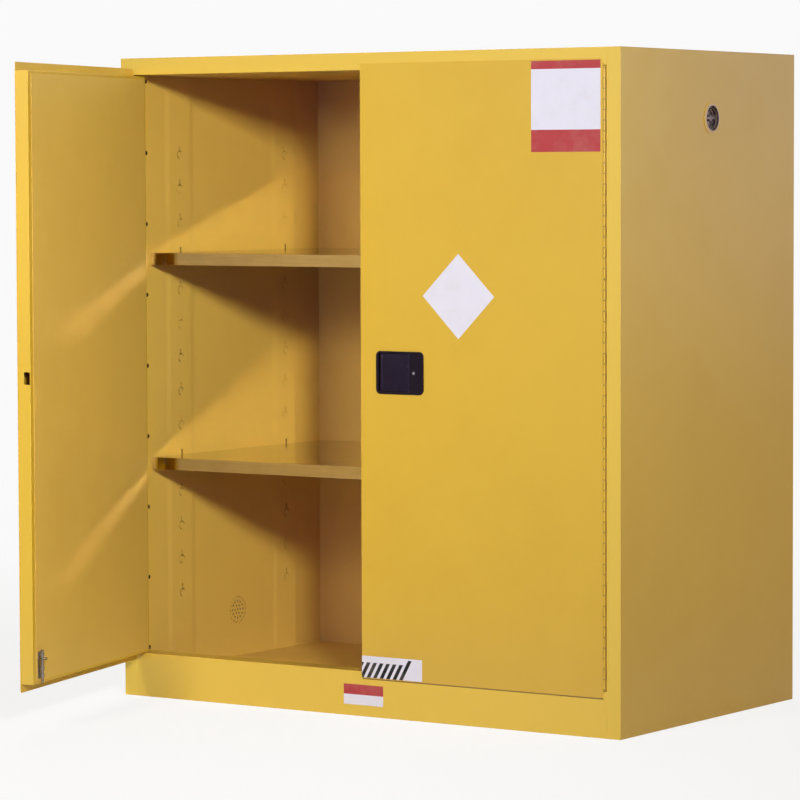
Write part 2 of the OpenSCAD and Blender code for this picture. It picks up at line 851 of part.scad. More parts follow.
// Yoke at a rod's end, with a slot square to the rod's travel; dir is 1 upwards and -1 downwards
module rod_yoke(x, z) {
  difference() {
    block([x - slot_half_w - yoke_rim, yoke_front, z - slot_half_h - yoke_rim],
          [x + slot_half_w + yoke_rim, yoke_front + yoke_t, z + slot_half_h + yoke_rim]);
    block([x - slot_half_w, yoke_front - cut, z - slot_half_h],
          [x + slot_half_w, yoke_front + yoke_t + cut, z + slot_half_h]);
  }
}

module top_rod() {
  z = hub_z - crank_drop;
  color(steel) {
    rod_yoke(hub_x + crank_r - sweep / 2, z);
    along_z(hub_x + crank_r, rod_y, z + slot_half_h + 0.6, rod_top, rod_r);
  }
}

module bottom_rod() {
  z = hub_z + crank_drop;
  color(steel) {
    rod_yoke(hub_x - crank_r + sweep / 2, z);
    along_z(hub_x - crank_r, rod_y, rod_bottom, z - slot_half_h - 0.6, rod_r);
  }
}

// Bolt that runs into the left door's edge, driven by the hub's upper pin
module centre_bolt() {
  x = hub_x + crank_drop;
  z = hub_z + crank_r - sweep / 2;
  color(steel) {
    difference() {
      block([x - slot_half_h - yoke_rim, yoke_front, z - slot_half_w - yoke_rim],
            [x + slot_half_h + yoke_rim, yoke_front + yoke_t, z + slot_half_w + yoke_rim]);
      block([x - slot_half_h, yoke_front - cut, z - slot_half_w],
            [x + slot_half_h, yoke_front + yoke_t + cut, z + slot_half_w]);
    }
    block([bolt_nose, yoke_front, paddle_z - 4], [x - slot_half_h - 1, yoke_front + yoke_t, paddle_z + 4]);
    block([bolt_nose, rod_y - bolt_t / 2, paddle_z - bolt_h / 2],
          [hub_x - hub_r - 8, rod_y + bolt_t / 2, paddle_z + bolt_h / 2]);
  }
}

guide_h = 14;
guide_wall = 5;
guide_inset = 60;                         // from a rod's outer guide to the end of the box

// Guide block for a long rod, standing on the box's back
module rod_guide(x, z) {
  difference() {
    block([x - rod_r - guide_wall, rod_y - rod_r - 3, z],
          [x + rod_r + guide_wall, pan_back - skin_t, z + guide_h]);
    along_z(x, rod_y, z - cut, z + guide_h + cut, rod_r + slide);
  }
}

module rod_guides() {
  color("#3a3a3e") {
    for (z = [paddle_z + 0.4 * (box_top - paddle_z), box_top - guide_inset])
      rod_guide(hub_x + crank_r, z);
    for (z = [paddle_z - 0.5 * (paddle_z - box_bottom), box_bottom + guide_inset - guide_h])
      rod_guide(hub_x - crank_r, z);
  }
}

// Guide round the centre bolt, near the door's free edge
module bolt_guide() {
  x0 = pan_edge + 8;
  gap = slide;
  color("#3a3a3e")
    difference() {
      block([x0, rod_y - bolt_t / 2 - 3, paddle_z - bolt_h / 2 - guide_wall],
            [x0 + guide_h, pan_back - skin_t, paddle_z + bolt_h / 2 + guide_wall]);
      block([x0 - cut, rod_y - bolt_t / 2 - gap, paddle_z - bolt_h / 2 - gap],
            [x0 + guide_h + cut, rod_y + bolt_t / 2 + gap, paddle_z + bolt_h / 2 + gap]);
    }
}

// ---------------------------------------------------------------- vents

collar_t = 1.5;

// Tube through the double wall, with its collar outside; drawn for the right side
module vent_tube(z) {
  color(yellow_dark)
    difference() {
      union() {
        along_x(vent_y, z, jamb_x, side_x, vent_r + vent_wall);
        along_x(vent_y, z, side_x, side_x + collar_t, collar_r);
      }
      along_x(vent_y, z, jamb_x - cut, side_x + collar_t + cut, vent_r);
    }
}

screen_t = 2;

// Flame screen across the tube, next to the lining
module flame_screen(z) {
  color("#77777c") along_x(vent_y, z, jamb_x + 3, jamb_x + 3 + screen_t, vent_r - 0.2);
}

bung_t = 14;
bung_rim = 4;
bung_bar = 9;

// Screwed bung, dished in front with a bar across for the hand
module bung(z) {
  face = side_x + collar_t - bung_sink;
  dish = 8;
  color("#5a5650")
    difference() {
      along_x(vent_y, z, face - bung_t, face, vent_r - slide);
      difference() {
        along_x(vent_y, z, face - dish, face + cut, vent_r - slide - bung_rim);
        block([face - dish - cut, vent_y - vent_r, z - bung_bar / 2],
              [face - 1, vent_y + vent_r, z + bung_bar / 2]);
      }
    }
}

module vent_tube_left() {
  mirror([1, 0, 0]) vent_tube(vent_low);
}

module vent_tube_right() {
  vent_tube(vent_high);
}

module flame_screen_left() {
  mirror([1, 0, 0]) flame_screen(vent_low);
}

module flame_screen_right() {
  flame_screen(vent_high);
}

module bung_left() {
  mirror([1, 0, 0]) bung(vent_low);
}

module bung_right() {
  bung(vent_high);
}

// ---------------------------------------------------------------- earth stud

washer_t = 1.5;
nut_t = 5;
nut_r = stud_r * 1.9;
nut_face = -side_x - washer_t - nut_t;
stud_head_t = 3;

// Stud through the left side panel, with its head inside the wall and a thinner neck under the nut
module earth_stud() {
  y = back_y - stud_in;
  color("#c8a24a") {
    along_x(y, stud_z, -side_x - stud_out, nut_face - slide, stud_r);
    along_x(y, stud_z, nut_face - slide, -side_x + sheet, stud_r - seat);
    along_x(y, stud_z, -side_x + sheet, -side_x + sheet + stud_head_t, stud_r + 3);
  }
}

// Washer and hexagon nut against the side panel
module earth_nuts() {
  y = back_y - stud_in;
  color("#c8a24a")
    difference() {
      union() {
        along_x(y, stud_z, -side_x - washer_t, -side_x, nut_r + 1);
        translate([nut_face, y, stud_z]) rotate([0, 90, 0])
          cylinder(h = nut_t + 0.2, r = nut_r, $fn = 6);
      }
      along_x(y, stud_z, nut_face - cut, -side_x + cut, stud_r + pin_clear);
    }
}

// ---------------------------------------------------------------- plates

plate_margin = 7;                         // from the tall plate to the door's edge
plate_top = 3;                            // from the tall plate to the door's upper edge
stripe_rise = 2;                          // from the striped plate to the door's lower edge
sill_plate_x = 4;

// Tall bare plate at the right door's upper corner
module notice_plate() {
  color("#f0eeee")
    block([door_edge - plate_margin - notice_w, skin_face - label_t, skin_top - plate_top - notice_h],
          [door_edge - plate_margin, skin_face, skin_top - plate_top]);
}

// Bare square plate standing on its corner
module diamond_plate() {
  side = diamond_w / sqrt(2);
  color("#f0eeee")
    translate([meet_gap + diamond_in, skin_face - label_t, diamond_z]) rotate([0, 45, 0])
      translate([-side / 2, 0, -side / 2]) cube([side, label_t, side]);
}

// Plate for diagonal stripes at the right door's lower free corner
module stripe_plate() {
  color("#f0eeee")
    block([meet_gap, skin_face - label_t, skin_bottom + stripe_rise],
          [meet_gap + stripe_w, skin_face, skin_bottom + stripe_rise + stripe_h]);
}

// Plate in the middle of the sill
module sill_plate() {
  z1 = skin_bottom - sill_plate_drop;
  color("#c0454a")
    block([sill_plate_x - sill_plate_w / 2, front_y - label_t, z1 - sill_plate_h],
          [sill_plate_x + sill_plate_w / 2, front_y, z1]);
}

side_shell_left();
side_shell_right();
top_shell();
back_panel();
base_plate();
front_sill();
liner_left();
liner_right();
liner_back();
liner_top();
sump_floor();
liner_rivets();
slot_strips_left();
slot_strips_right();
shelf_clips();
shelf_upper();
shelf_lower();
hinge_frame_leaf_left();
hinge_frame_leaf_right();
hinge_pin_left();
hinge_pin_right();
hinge_door_leaf_left();
hinge_door_leaf_right();
door_skin_left();
door_skin_right();
door_pan_left();
door_pan_right();
door_cover_left();
door_cover_right();
slide_bolt_plate();
slide_bolt_screws();
slide_bolt();
paddle_housing();
paddle_flap();
paddle_pin();
paddle_spring();
lock_barrel();
lock_plug();
lock_cam();
latch_plate();
latch_hub();
top_rod();
bottom_rod();
centre_bolt();
rod_guides();
bolt_guide();
vent_tube_left();
vent_tube_right();
flame_screen_left();
flame_screen_right();
bung_left();
bung_right();
earth_stud();
earth_nuts();
notice_plate();
diamond_plate();
stripe_plate();
sill_plate();
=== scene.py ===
"""Looks of a two-door safety storage cabinet in double-wall sheet steel.

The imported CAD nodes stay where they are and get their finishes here. Small pressed, turned and
moulded forms that a plain solid lacks are surfaces worked out with numpy. Everything is in metres,
in the CAD frame: +X to the right of someone who faces the doors, +Y towards the back, +Z up.
"""
import json
import math

import bmesh
import bpy
import numpy as np
from mathutils import Matrix, Vector


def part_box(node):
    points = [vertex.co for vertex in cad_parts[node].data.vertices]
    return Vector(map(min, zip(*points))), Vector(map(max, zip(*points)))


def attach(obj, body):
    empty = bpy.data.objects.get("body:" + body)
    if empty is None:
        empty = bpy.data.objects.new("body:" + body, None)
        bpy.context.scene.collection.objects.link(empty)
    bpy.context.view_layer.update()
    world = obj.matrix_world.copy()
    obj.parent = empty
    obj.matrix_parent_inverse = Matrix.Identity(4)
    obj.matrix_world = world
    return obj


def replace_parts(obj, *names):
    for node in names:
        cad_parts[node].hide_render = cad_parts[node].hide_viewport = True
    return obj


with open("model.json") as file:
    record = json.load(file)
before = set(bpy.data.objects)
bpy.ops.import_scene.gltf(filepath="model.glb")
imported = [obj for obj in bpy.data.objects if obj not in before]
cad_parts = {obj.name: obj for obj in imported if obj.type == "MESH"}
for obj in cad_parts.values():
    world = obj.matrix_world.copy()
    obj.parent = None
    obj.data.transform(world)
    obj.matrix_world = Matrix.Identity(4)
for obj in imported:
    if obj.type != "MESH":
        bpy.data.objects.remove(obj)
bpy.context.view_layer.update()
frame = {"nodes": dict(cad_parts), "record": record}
NODES = frame["nodes"]
MM = 0.001
MERGE = 0.01 * MM           # points closer than this are one point


def side_name(side):
    """Word for a side: +1 is the right one, -1 the left one."""
    return "right" if side > 0 else "left"


def direction(azimuth, elevation):
    """Unit vector out from the cabinet; both angles in degrees, the azimuth from -Y towards +X."""
    a, e = math.radians(azimuth), math.radians(elevation)
    return np.array([math.sin(a) * math.cos(e), -math.cos(a) * math.cos(e), math.sin(e)])


# ------------------------------------------------------------------ camera

PICTURE_PX = 800.0          # width of the picture
LENS_PX = 3847.273          # focal length in pixels of that picture
SENSOR_MM = 36.0
AZIMUTH = 34.173            # degrees, from straight in front towards +X
ELEVATION = 3.363
ROLL = -0.19
DISTANCE = 9.910919         # metres back from the point that the camera looks at
AIM_SIDE, AIM_UP = -0.144634, 0.769325      # that point, to the camera's right and up


def camera():
    """Perspective camera: its back, right and up axes, the last two turned by the roll."""
    a, roll = math.radians(AZIMUTH), math.radians(ROLL)
    back = direction(AZIMUTH, ELEVATION)
    level = np.array([math.cos(a), math.sin(a), 0.0])
    upright = np.cross(back, level)
    right = level * math.cos(roll) + upright * math.sin(roll)
    up = upright * math.cos(roll) - level * math.sin(roll)
    target = np.array([AIM_SIDE * math.cos(a), AIM_SIDE * math.sin(a), AIM_UP])
    place = target + back * DISTANCE
    data = bpy.data.cameras.new("photo_camera")
    data.sensor_width = SENSOR_MM
    data.lens = LENS_PX * SENSOR_MM / PICTURE_PX
    data.clip_start, data.clip_end = 0.1, 200.0
    cam = bpy.data.objects.new("photo_camera", data)
    rows = [[right[i], up[i], back[i], place[i]] for i in range(3)]
    cam.matrix_world = Matrix(rows + [[0, 0, 0, 1]])
    bpy.context.scene.collection.objects.link(cam)
    bpy.context.scene.camera = cam


camera()

# ------------------------------------------------------------------ shader helpers


def paint(code):
    """Linear colour of an sRGB code such as '#e0b646'."""
    c = np.array([int(code[i:i + 2], 16) for i in (1, 3, 5)]) / 255.0
    lin = np.where(c <= 0.04045, c / 12.92, ((c + 0.055) / 1.055) ** 2.4)
    return (float(lin[0]), float(lin[1]), float(lin[2]), 1.0)


def feed(tree, value, socket):
    """Gives an input a constant, or another node's socket."""
    if isinstance(value, bpy.types.NodeSocket):
        tree.links.new(value, socket)
    else:
        socket.default_value = value


def add(tree, kind, settings=None, **inputs):
    """A new node with its settings and inputs, each input by its name, or by _ and its number."""
    node = tree.nodes.new(kind)
    for name, value in (settings or {}).items():
        setattr(node, name, value)
    for name, value in inputs.items():
        key = int(name[1:]) if name[0] == "_" else name.replace("_", " ")
        feed(tree, value, node.inputs[key])
    return node


def maths(tree, operation, a, b=0.0, clamp=False):
    """One step of arithmetic on two values."""
    settings = {"operation": operation, "use_clamp": clamp}
    return add(tree, "ShaderNodeMath", settings, _0=a, _1=b).outputs[0]


def plus(tree, a, b, clamp=False):
    return maths(tree, "ADD", a, b, clamp)


def minus(tree, a, b):
    return maths(tree, "SUBTRACT", a, b)


def times(tree, a, b, clamp=False):
    return maths(tree, "MULTIPLY", a, b, clamp)


def larger(tree, a, b):
    return maths(tree, "MAXIMUM", a, b)


def above(tree, value, limit):
    return maths(tree, "GREATER_THAN", value, limit)


def below(tree, value, limit):
    return maths(tree, "LESS_THAN", value, limit)


def between(tree, value, low, high):
    """1 where the value lies between low and high, and 0 elsewhere."""
    return times(tree, above(tree, value, low), below(tree, value, high))


def remap(tree, value, low, high, to_low=0.0, to_high=1.0):
    """A value carried from low..high to to_low..to_high, smoothly, and held outside."""
    return add(tree, "ShaderNodeMapRange", {"interpolation_type": "SMOOTHSTEP"}, Value=value,
               From_Min=low, From_Max=high, To_Min=to_low, To_Max=to_high).outputs[0]


def blend_colour(tree, mask, a, b):
    """Colour a where the mask is 0 and b where it is 1."""
    mix = tree.nodes.new("ShaderNodeMix")
    mix.data_type = "RGBA"
    for socket, value in ((mix.inputs[0], mask), (mix.inputs[6], a), (mix.inputs[7], b)):
        feed(tree, value, socket)
    return mix.outputs[2]


def object_xyz(tree):
    """The three Object coordinates, one socket each."""
    at = add(tree, "ShaderNodeTexCoord").outputs["Object"]
    return add(tree, "ShaderNodeSeparateXYZ", Vector=at).outputs


def places(tree, scale=(1.0, 1.0, 1.0)):
    """Object coordinates, scaled by axis."""
    at = add(tree, "ShaderNodeTexCoord").outputs["Object"]
    return add(tree, "ShaderNodeMapping", Vector=at, Scale=scale).outputs[0]


def noise(tree, vector, scale, detail=2.0, roughness=0.5):
    return add(tree, "ShaderNodeTexNoise", Vector=vector, Scale=scale, Detail=detail,
               Roughness=roughness).outputs[0]


# ------------------------------------------------------------------ effects

FLOAT, COLOUR = "NodeSocketFloat", "NodeSocketColor"
EFFECT_OUTPUTS = [(COLOUR, "Colour"), (FLOAT, "Roughness"), (FLOAT, "Height")]
DUST_HEIGHT = 0.35          # metres over the floor that dust settles to


def effect(name, inputs):
    """An empty shader node group with its named inputs, each (kind, name, default), and a colour, a
    roughness and a height as its outputs."""
    tree = bpy.data.node_groups.new(name, "ShaderNodeTree")
    for kind, label, value in inputs:
        socket = tree.interface.new_socket(label, in_out="INPUT", socket_type=kind)
        socket.default_value = value
    for kind, label in EFFECT_OUTPUTS:
        tree.interface.new_socket(label, in_out="OUTPUT", socket_type=kind)
    sources = tree.nodes.new("NodeGroupInput").outputs
    results = tree.nodes.new("NodeGroupOutput").inputs
    return tree, sources, results


def powder_coat_group():
    """Sprayed and baked powder: slow changes of tone over the sheet, a fine orange-peel height, and
    roughness that changes a little with them. A dull veil of dust gathers near the floor."""
    tree, given, result = effect("PowderCoat", [
        (COLOUR, "Colour", (0.8, 0.5, 0.1, 1)), (COLOUR, "Thin Colour", (0.7, 0.4, 0.08, 1)),
        (FLOAT, "Gloss", 0.35), (FLOAT, "Dust", 0.5)])
    at = places(tree)
    slow = noise(tree, at, 1.7, 2.0)
    cloud = noise(tree, at, 9.0, 3.0, 0.6)
    tone = plus(tree, times(tree, slow, 0.7), times(tree, cloud, 0.3))
    thin = remap(tree, tone, 0.38, 0.66)
    sprayed = blend_colour(tree, thin, given["Colour"], given["Thin Colour"])
    height = add(tree, "ShaderNodeSeparateXYZ", Vector=at).outputs[2]
    low = remap(tree, height, 0.0, DUST_HEIGHT, 1.0, 0.0)
    speck = remap(tree, noise(tree, at, 60.0, 4.0, 0.7), 0.55, 0.75)
    cover = plus(tree, times(tree, speck, 0.5), 0.35)
    dust = times(tree, times(tree, low, given["Dust"]), cover, clamp=True)
    feed(tree, blend_colour(tree, dust, sprayed, paint("#b8a988")), result["Colour"])
    rough = plus(tree, given["Gloss"], times(tree, remap(tree, cloud, 0.3, 0.7), 0.07))
    feed(tree, plus(tree, rough, times(tree, dust, 0.35), clamp=True), result["Roughness"])
    peel = noise(tree, at, 420.0, 2.0, 0.4)
    wave = noise(tree, at, 5.0, 1.0)
    feed(tree, plus(tree, times(tree, peel, 0.06), times(tree, wave, 1.2)), result["Height"])
    return tree


def rolled_metal_group():
    """Cold-rolled or plated metal: fine streaks along X that change tone, roughness and height."""
    tree, given, result = effect("RolledMetal", [
        (COLOUR, "Colour", (0.6, 0.6, 0.6, 1)), (COLOUR, "Streak", (0.4, 0.4, 0.4, 1)),
        (FLOAT, "Gloss", 0.3), (FLOAT, "Spread", 0.15)])
    streak = noise(tree, places(tree, (2.0, 120.0, 120.0)), 3.0, 5.0, 0.65)
    blotch = noise(tree, places(tree), 14.0, 3.0, 0.6)
    tone = plus(tree, times(tree, streak, 0.6), times(tree, blotch, 0.4))
    share = remap(tree, tone, 0.35, 0.65)
    feed(tree, blend_colour(tree, share, given["Colour"], given["Streak"]), result["Colour"])
    rise = times(tree, remap(tree, tone, 0.3, 0.7), given["Spread"])
    feed(tree, plus(tree, given["Gloss"], rise), result["Roughness"])
    feed(tree, streak, result["Height"])
    return tree


def film_group():
    """Stuck plastic film: an uneven tack that lifts it by a hair, scuffs that dull it, and
    yellowing in blotches."""
    tree, given, result = effect("StuckFilm", [
        (COLOUR, "Colour", (0.9, 0.9, 0.9, 1)), (FLOAT, "Gloss", 0.3)])
    at = places(tree)
    blotch = remap(tree, noise(tree, at, 22.0, 4.0, 0.6), 0.4, 0.75)
    scratches = noise(tree, places(tree, (300.0, 300.0, 40.0)), 1.0, 4.0, 0.7)
    scuff = remap(tree, scratches, 0.6, 0.72)
    aged = blend_colour(tree, times(tree, blotch, 0.12), given["Colour"], paint("#cbbf9a"))
    feed(tree, aged, result["Colour"])
    feed(tree, plus(tree, given["Gloss"], times(tree, scuff, 0.25)), result["Roughness"])
    feed(tree, noise(tree, at, 70.0, 2.0), result["Height"])
    return tree


POWDER, ROLLED, FILM = powder_coat_group(), rolled_metal_group(), film_group()

# ------------------------------------------------------------------ finishes


def material(name, effect_group, bump=0.2, depth=0.001, metallic=0.0, **values):
    """A material that places one effect group with its own values and puts it through the
    shader. A value goes to the group's input of that name, or else to the shader's."""
    mat = bpy.data.materials.new(name)
    mat.use_nodes = True
    tree = mat.node_tree
    shader = tree.nodes["Principled BSDF"]
    shader.inputs["Metallic"].default_value = metallic
    made = tree.nodes.new("ShaderNodeGroup")
    made.node_tree = effect_group
    for key, value in values.items():
        key = key.replace("_", " ")
        where = made if key in made.inputs else shader
        where.inputs[key].default_value = paint(value) if isinstance(value, str) else value
    feed(tree, made.outputs["Colour"], shader.inputs["Base Color"])
    feed(tree, made.outputs["Roughness"], shader.inputs["Roughness"])
    rise = add(tree, "ShaderNodeBump", Height=made.outputs["Height"], Strength=bump,
               Distance=depth)
    feed(tree, rise.outputs[0], shader.inputs["Normal"])
    return mat


def plastic(name, colour, thin, gloss, **values):
    """Smooth moulding or enamel without dust."""
    return material(name, POWDER, Colour=colour, Thin_Colour=thin, Gloss=gloss, Dust=0.0,
                    bump=0.2, depth=0.0005, **values)


def metal(name, colour, streak, gloss, spread, metallic, bump, depth):
    """Rolled, drawn or cast metal."""
    return material(name, ROLLED, Colour=colour, Streak=streak, Gloss=gloss, Spread=spread,
                    metallic=metallic, bump=bump, depth=depth)


def film(name, **values):
    """White plastic film."""
    return material(name, FILM, Colour=WHITE, Gloss=0.3, bump=0.15, depth=0.0004, **values)


YELLOW_POWDER = dict(Colour="#e2b830", Thin_Colour="#ddb22c", Gloss=0.32, Dust=0.2, bump=0.25)
GLAZE = dict(Coat_Weight=0.5, Coat_Roughness=0.22)
WHITE, RED, BLACK = "#eceade", "#b93c39", "#121010"

yellow = material("yellow_powder_coat", POWDER, **YELLOW_POWDER, **GLAZE)
shell_yellow = material("shell_powder_coat", POWDER, **YELLOW_POWDER, **GLAZE)
lining = material("lining_powder_coat", POWDER, Colour="#e6bd49", Thin_Colour="#e1b846",
                  Gloss=0.5, Dust=0.15, bump=0.25, Coat_Weight=1.0, Coat_Roughness=0.6)
galvanised = metal("galvanised_sheet", "#d6cbb4", "#c4b89e", 0.09, 0.02, 1.0, 0.02, 0.00005)
bright_steel = metal("zinc_plated_steel", "#c6bdb3", "#6f665e", 0.2, 0.15, 1.0, 0.1, 0.0003)
rivet_steel = metal("painted_rivet", "#4a3816", "#33260f", 0.4, 0.2, 0.2, 0.1, 0.0003)
lock_grey = metal("lock_barrel_zinc", "#4c4751", "#34303a", 0.3, 0.1, 0.9, 0.1, 0.0002)
# pale plug colour for a painted glint, kept only near the key slot by the mask below
plug_glint_zinc = metal("lock_plug_painted_glint", "#d6d1da", "#a49eac", 0.3, 0.1, 0.6, 0.1, 0.0002)
latch_black = plastic("moulded_black", "#1e141d", "#19111b", 0.26, Specular_IOR_Level=0.14)
paddle_black = plastic("paddle_black", "#201525", "#1a111d", 0.22, Specular_IOR_Level=0.2)
guide_grey = plastic("guide_nylon", "#3a3a3e", "#323236", 0.5)
bung_grey = metal("cast_zinc", "#c0b3ac", "#5a4a52", 0.18, 0.12, 1.0, 0.25, 0.0006)
# painted shade: dark colour for the sleeve in the vent's bore, where the hole is in shade
bore_shade_brown = plastic("vent_bore_shade", "#4a3a34", "#40322e", 0.5)
# painted highlight: a paler colour for the collar's rim, where its edge catches the light
rim_highlight = plastic("vent_rim_highlight", "#e0c49c", "#d8bb92", 0.3)
brass = metal("stud_brass", "#c9a557", "#a6853f", 0.25, 0.15, 1.0, 0.1, 0.0003)
screen = metal("woven_screen", "#77777c", "#48484c", 0.4, 0.2, 0.9, 0.6, 0.0008)
white_film = film("white_film")


def film_colour(mat):
    """Input of the colour in a film's effect group."""
    return next(n for n in mat.node_tree.nodes if n.type == "GROUP").inputs["Colour"]


def banded_film(name, bands):
    """White film with plain red bands, each (low, high) in metres over the floor."""
    mat = film(name)
    tree = mat.node_tree
    height = object_xyz(tree)[2]
    colour = paint(WHITE)
    for low, high in bands:
        colour = blend_colour(tree, between(tree, height, low, high), colour, paint(RED))
    feed(tree, colour, film_colour(mat))
    return mat


STRIPE_PERIOD = 0.0195      # metres along X from one stripe to the next
STRIPE_LEAN = 0.55          # metres along X that a stripe moves in a metre of height
STRIPE_SHARE = 0.56         # share of the period that is black
LAST_STRIPE = 0.113         # the last stripe starts within this of the plate's left edge
STRIPES_HIGH = 0.038        # height of the stripes over the plate's lower edge
LAST_STRIPE_RISE = 0.012    # the last stripe runs up this much further


def striped_film():
    """White film with black diagonal stripes: black where the fraction of (x - lean z) / period is
    less than the share. The band over them stays white, but the last stripe runs up into it."""
    mat = film("stripe_film", Specular_IOR_Level=0.3)
    tree = mat.node_tree
    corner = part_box("stripe_plate")[0]
    last = math.floor((corner.x + LAST_STRIPE - STRIPE_LEAN * corner.z) / STRIPE_PERIOD)
    x, _, z = object_xyz(tree)
    slant = maths(tree, "DIVIDE", minus(tree, x, times(tree, z, STRIPE_LEAN)), STRIPE_PERIOD)
    black = below(tree, maths(tree, "FRACT", slant), STRIPE_SHARE)
    past = above(tree, slant, last)
    inside = times(tree, above(tree, x, corner.x), below(tree, slant, last + 0.6))
    ceiling = plus(tree, times(tree, past, LAST_STRIPE_RISE), corner.z + STRIPES_HIGH)
    inside = times(tree, inside, below(tree, z, ceiling))
    mask = times(tree, inside, black)
    feed(tree, blend_colour(tree, mask, paint(WHITE), paint(BLACK)), film_colour(mat))
    return mat


OFF_PLATE = 9.0             # metres, beyond every plate's edge
UPPER_BAND, LOWER_BAND = 0.020, 0.053       # heights of the notice plate's red bands
notice_low, notice_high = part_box("notice_plate")
notice_film = banded_film("notice_film", [(notice_high.z - UPPER_BAND, OFF_PLATE),
                                          (-OFF_PLATE, notice_low.z + LOWER_BAND)])
sill_low, sill_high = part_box("sill_plate")
sill_film = banded_film("sill_film", [((sill_low.z + sill_high.z) / 2, OFF_PLATE)])
stripe_film = striped_film()


def masked(mat, mask, colour):
    """Lays a second colour over a material's own where the mask is 1."""
    tree = mat.node_tree
    colour_in = tree.nodes["Principled BSDF"].inputs["Base Color"]
    own = colour_in.links[0].from_socket
    feed(tree, blend_colour(tree, mask, own, paint(colour)), colour_in)


LIT_FRONT_DEPTH = 0.8 * MM      # the painted lighter yellow of the lit front reaches this far behind the front face
GAP_SHADOW_STARTS, GAP_SHADOW_FULL = 4.0 * MM, 2.8 * MM     # painted shadow below the door's face sheet: where it starts and where it is full
GAP_SHADOW_LAP = 1.0 * MM         # the painted shadow goes up this far behind the sheet


def paint_front_light_and_gap_shadow():
    """The shell's faces to the front are painted a lighter yellow than its sides, as painted light
    for the brighter front. A painted shadow lies on the sill as a dark line where the right door's
    face sheet laps over it."""
    tree = shell_yellow.node_tree
    x, y, z = object_xyz(tree)
    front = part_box("front_sill")[0].y
    # painted light: the faces to the front get a lighter yellow than the sides
    masked(shell_yellow, below(tree, y, front + LIT_FRONT_DEPTH), "#ecc642")
    low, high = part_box("door_skin_right")
    # painted shadow: a dark band on the sill just under the right door's face sheet
    gap_shadow = remap(tree, z, low.z - GAP_SHADOW_STARTS, low.z - GAP_SHADOW_FULL)
    gap_shadow = times(tree, gap_shadow, below(tree, z, low.z + GAP_SHADOW_LAP))
    masked(shell_yellow, times(tree, gap_shadow, between(tree, x, low.x, high.x)), "#94702a")


PLUG_GLINT, PLUG_GLINT_GONE = 2.4 * MM, 4.0 * MM     # radii where the plug's painted glint ends and is gone


def paint_plug_glint():
    """The lock's plug carries a painted glint: bright round its key slot, and dark towards its rim.
    """
    low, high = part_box("lock_plug")
    tree = plug_glint_zinc.node_tree
    x, _, z = object_xyz(tree)
    dx = minus(tree, x, (low.x + high.x) / 2)
    dz = minus(tree, z, (low.z + high.z) / 2)
    r = maths(tree, "SQRT", plus(tree, times(tree, dx, dx), times(tree, dz, dz)))
    # painted glint: the pale colour stays near the middle and turns dark further out
    masked(plug_glint_zinc, remap(tree, r, PLUG_GLINT, PLUG_GLINT_GONE), "#2c2832")


KNUCKLES = 59               # down a piano hinge
PIN_INSET = 4.0 * MM        # from the frame leaf's outer edge to the middle of the hinge pin
JOINT_SHADE_HALF = 0.055          # half the width of a joint's painted shade line, as a share of a knuckle
JAMB_FLANK_SHADE = (2.2 * MM, 3.4 * MM)       # across from the pin: where the painted shade beside the jamb starts and is full
DOOR_FLANK_SHADE = (-1.2 * MM, -2.4 * MM)
SHADE_STRENGTH = 0.7                 # strength of the painted shade lines at the joints and beside the jamb


def hinge_painted_shade():
    """Powder coat over the right piano hinge with painted shade in its gaps: a dark line at every
    knuckle's end, a fine one down the flank beside the jamb, and one along every second knuckle
    on the flank beside the door."""
    mat = material("hinge_painted_shade", POWDER, **YELLOW_POWDER)
    tree = mat.node_tree
    x, _, z = object_xyz(tree)
    low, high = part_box("hinge_frame_leaf_right")
    step = maths(tree, "DIVIDE", minus(tree, z, low.z), (high.z - low.z) / KNUCKLES)
    nearest = minus(tree, maths(tree, "FRACT", plus(tree, step, 0.5)), 0.5)
    joint_shade = below(tree, maths(tree, "ABSOLUTE", nearest), JOINT_SHADE_HALF)
    second = above(tree, maths(tree, "FRACT", times(tree, step, 0.5)), 0.5)
    across = minus(tree, x, high.x - PIN_INSET)
    jamb_shade = remap(tree, across, *JAMB_FLANK_SHADE, 0.0, SHADE_STRENGTH)
    door_shade = times(tree, remap(tree, across, *DOOR_FLANK_SHADE), second)
    flank_shade = larger(tree, jamb_shade, door_shade)
    # painted shade: dark colour where the knuckles' gaps and flanks fall into shade
    masked(mat, larger(tree, times(tree, joint_shade, SHADE_STRENGTH), flank_shade), "#8a611f")
    return mat


paint_front_light_and_gap_shadow()
paint_plug_glint()

FINISHES = {                # by the record's material slot
    "yellow_paint": yellow, "lining_paint": lining, "galvanised_sheet": galvanised,
    "bright_steel": bright_steel, "rivet_steel": rivet_steel, "lock_chrome": lock_grey,
    "black_latch": latch_black, "guide_plastic": guide_grey, "screen_mesh": screen,
    "bung_metal": bung_grey, "stud_brass": brass, "white_plate": white_film,
    "red_plate": sill_film,
}
SPECIAL = {                 # by node, where it differs from its slot's finish
    "notice_plate": notice_film, "stripe_plate": stripe_film, "door_cover_left": lining,
    "door_cover_right": lining, "paddle_flap": paddle_black, "lock_plug": plug_glint_zinc,
}
SPECIAL.update(dict.fromkeys(["top_shell", "front_sill", "side_shell_left", "side_shell_right"],
                             shell_yellow))
SPECIAL.update(dict.fromkeys(["hinge_frame_leaf_right", "hinge_door_leaf_right"], hinge_painted_shade()))


def dress(node, mat):
    """Puts one material on every slot of a CAD node."""
    slots = NODES[node].data.materials
    slots.clear()
    slots.append(mat)


for row in frame["record"]["subparts"]:
    dress(row["node"], SPECIAL.get(row["node"], FINISHES[row["material_slot"]]))

# ------------------------------------------------------------------ surfaces

SHARP_ANGLE = 35.0          # degrees; edges over it stay sharp
TURN = 2.0 * np.pi


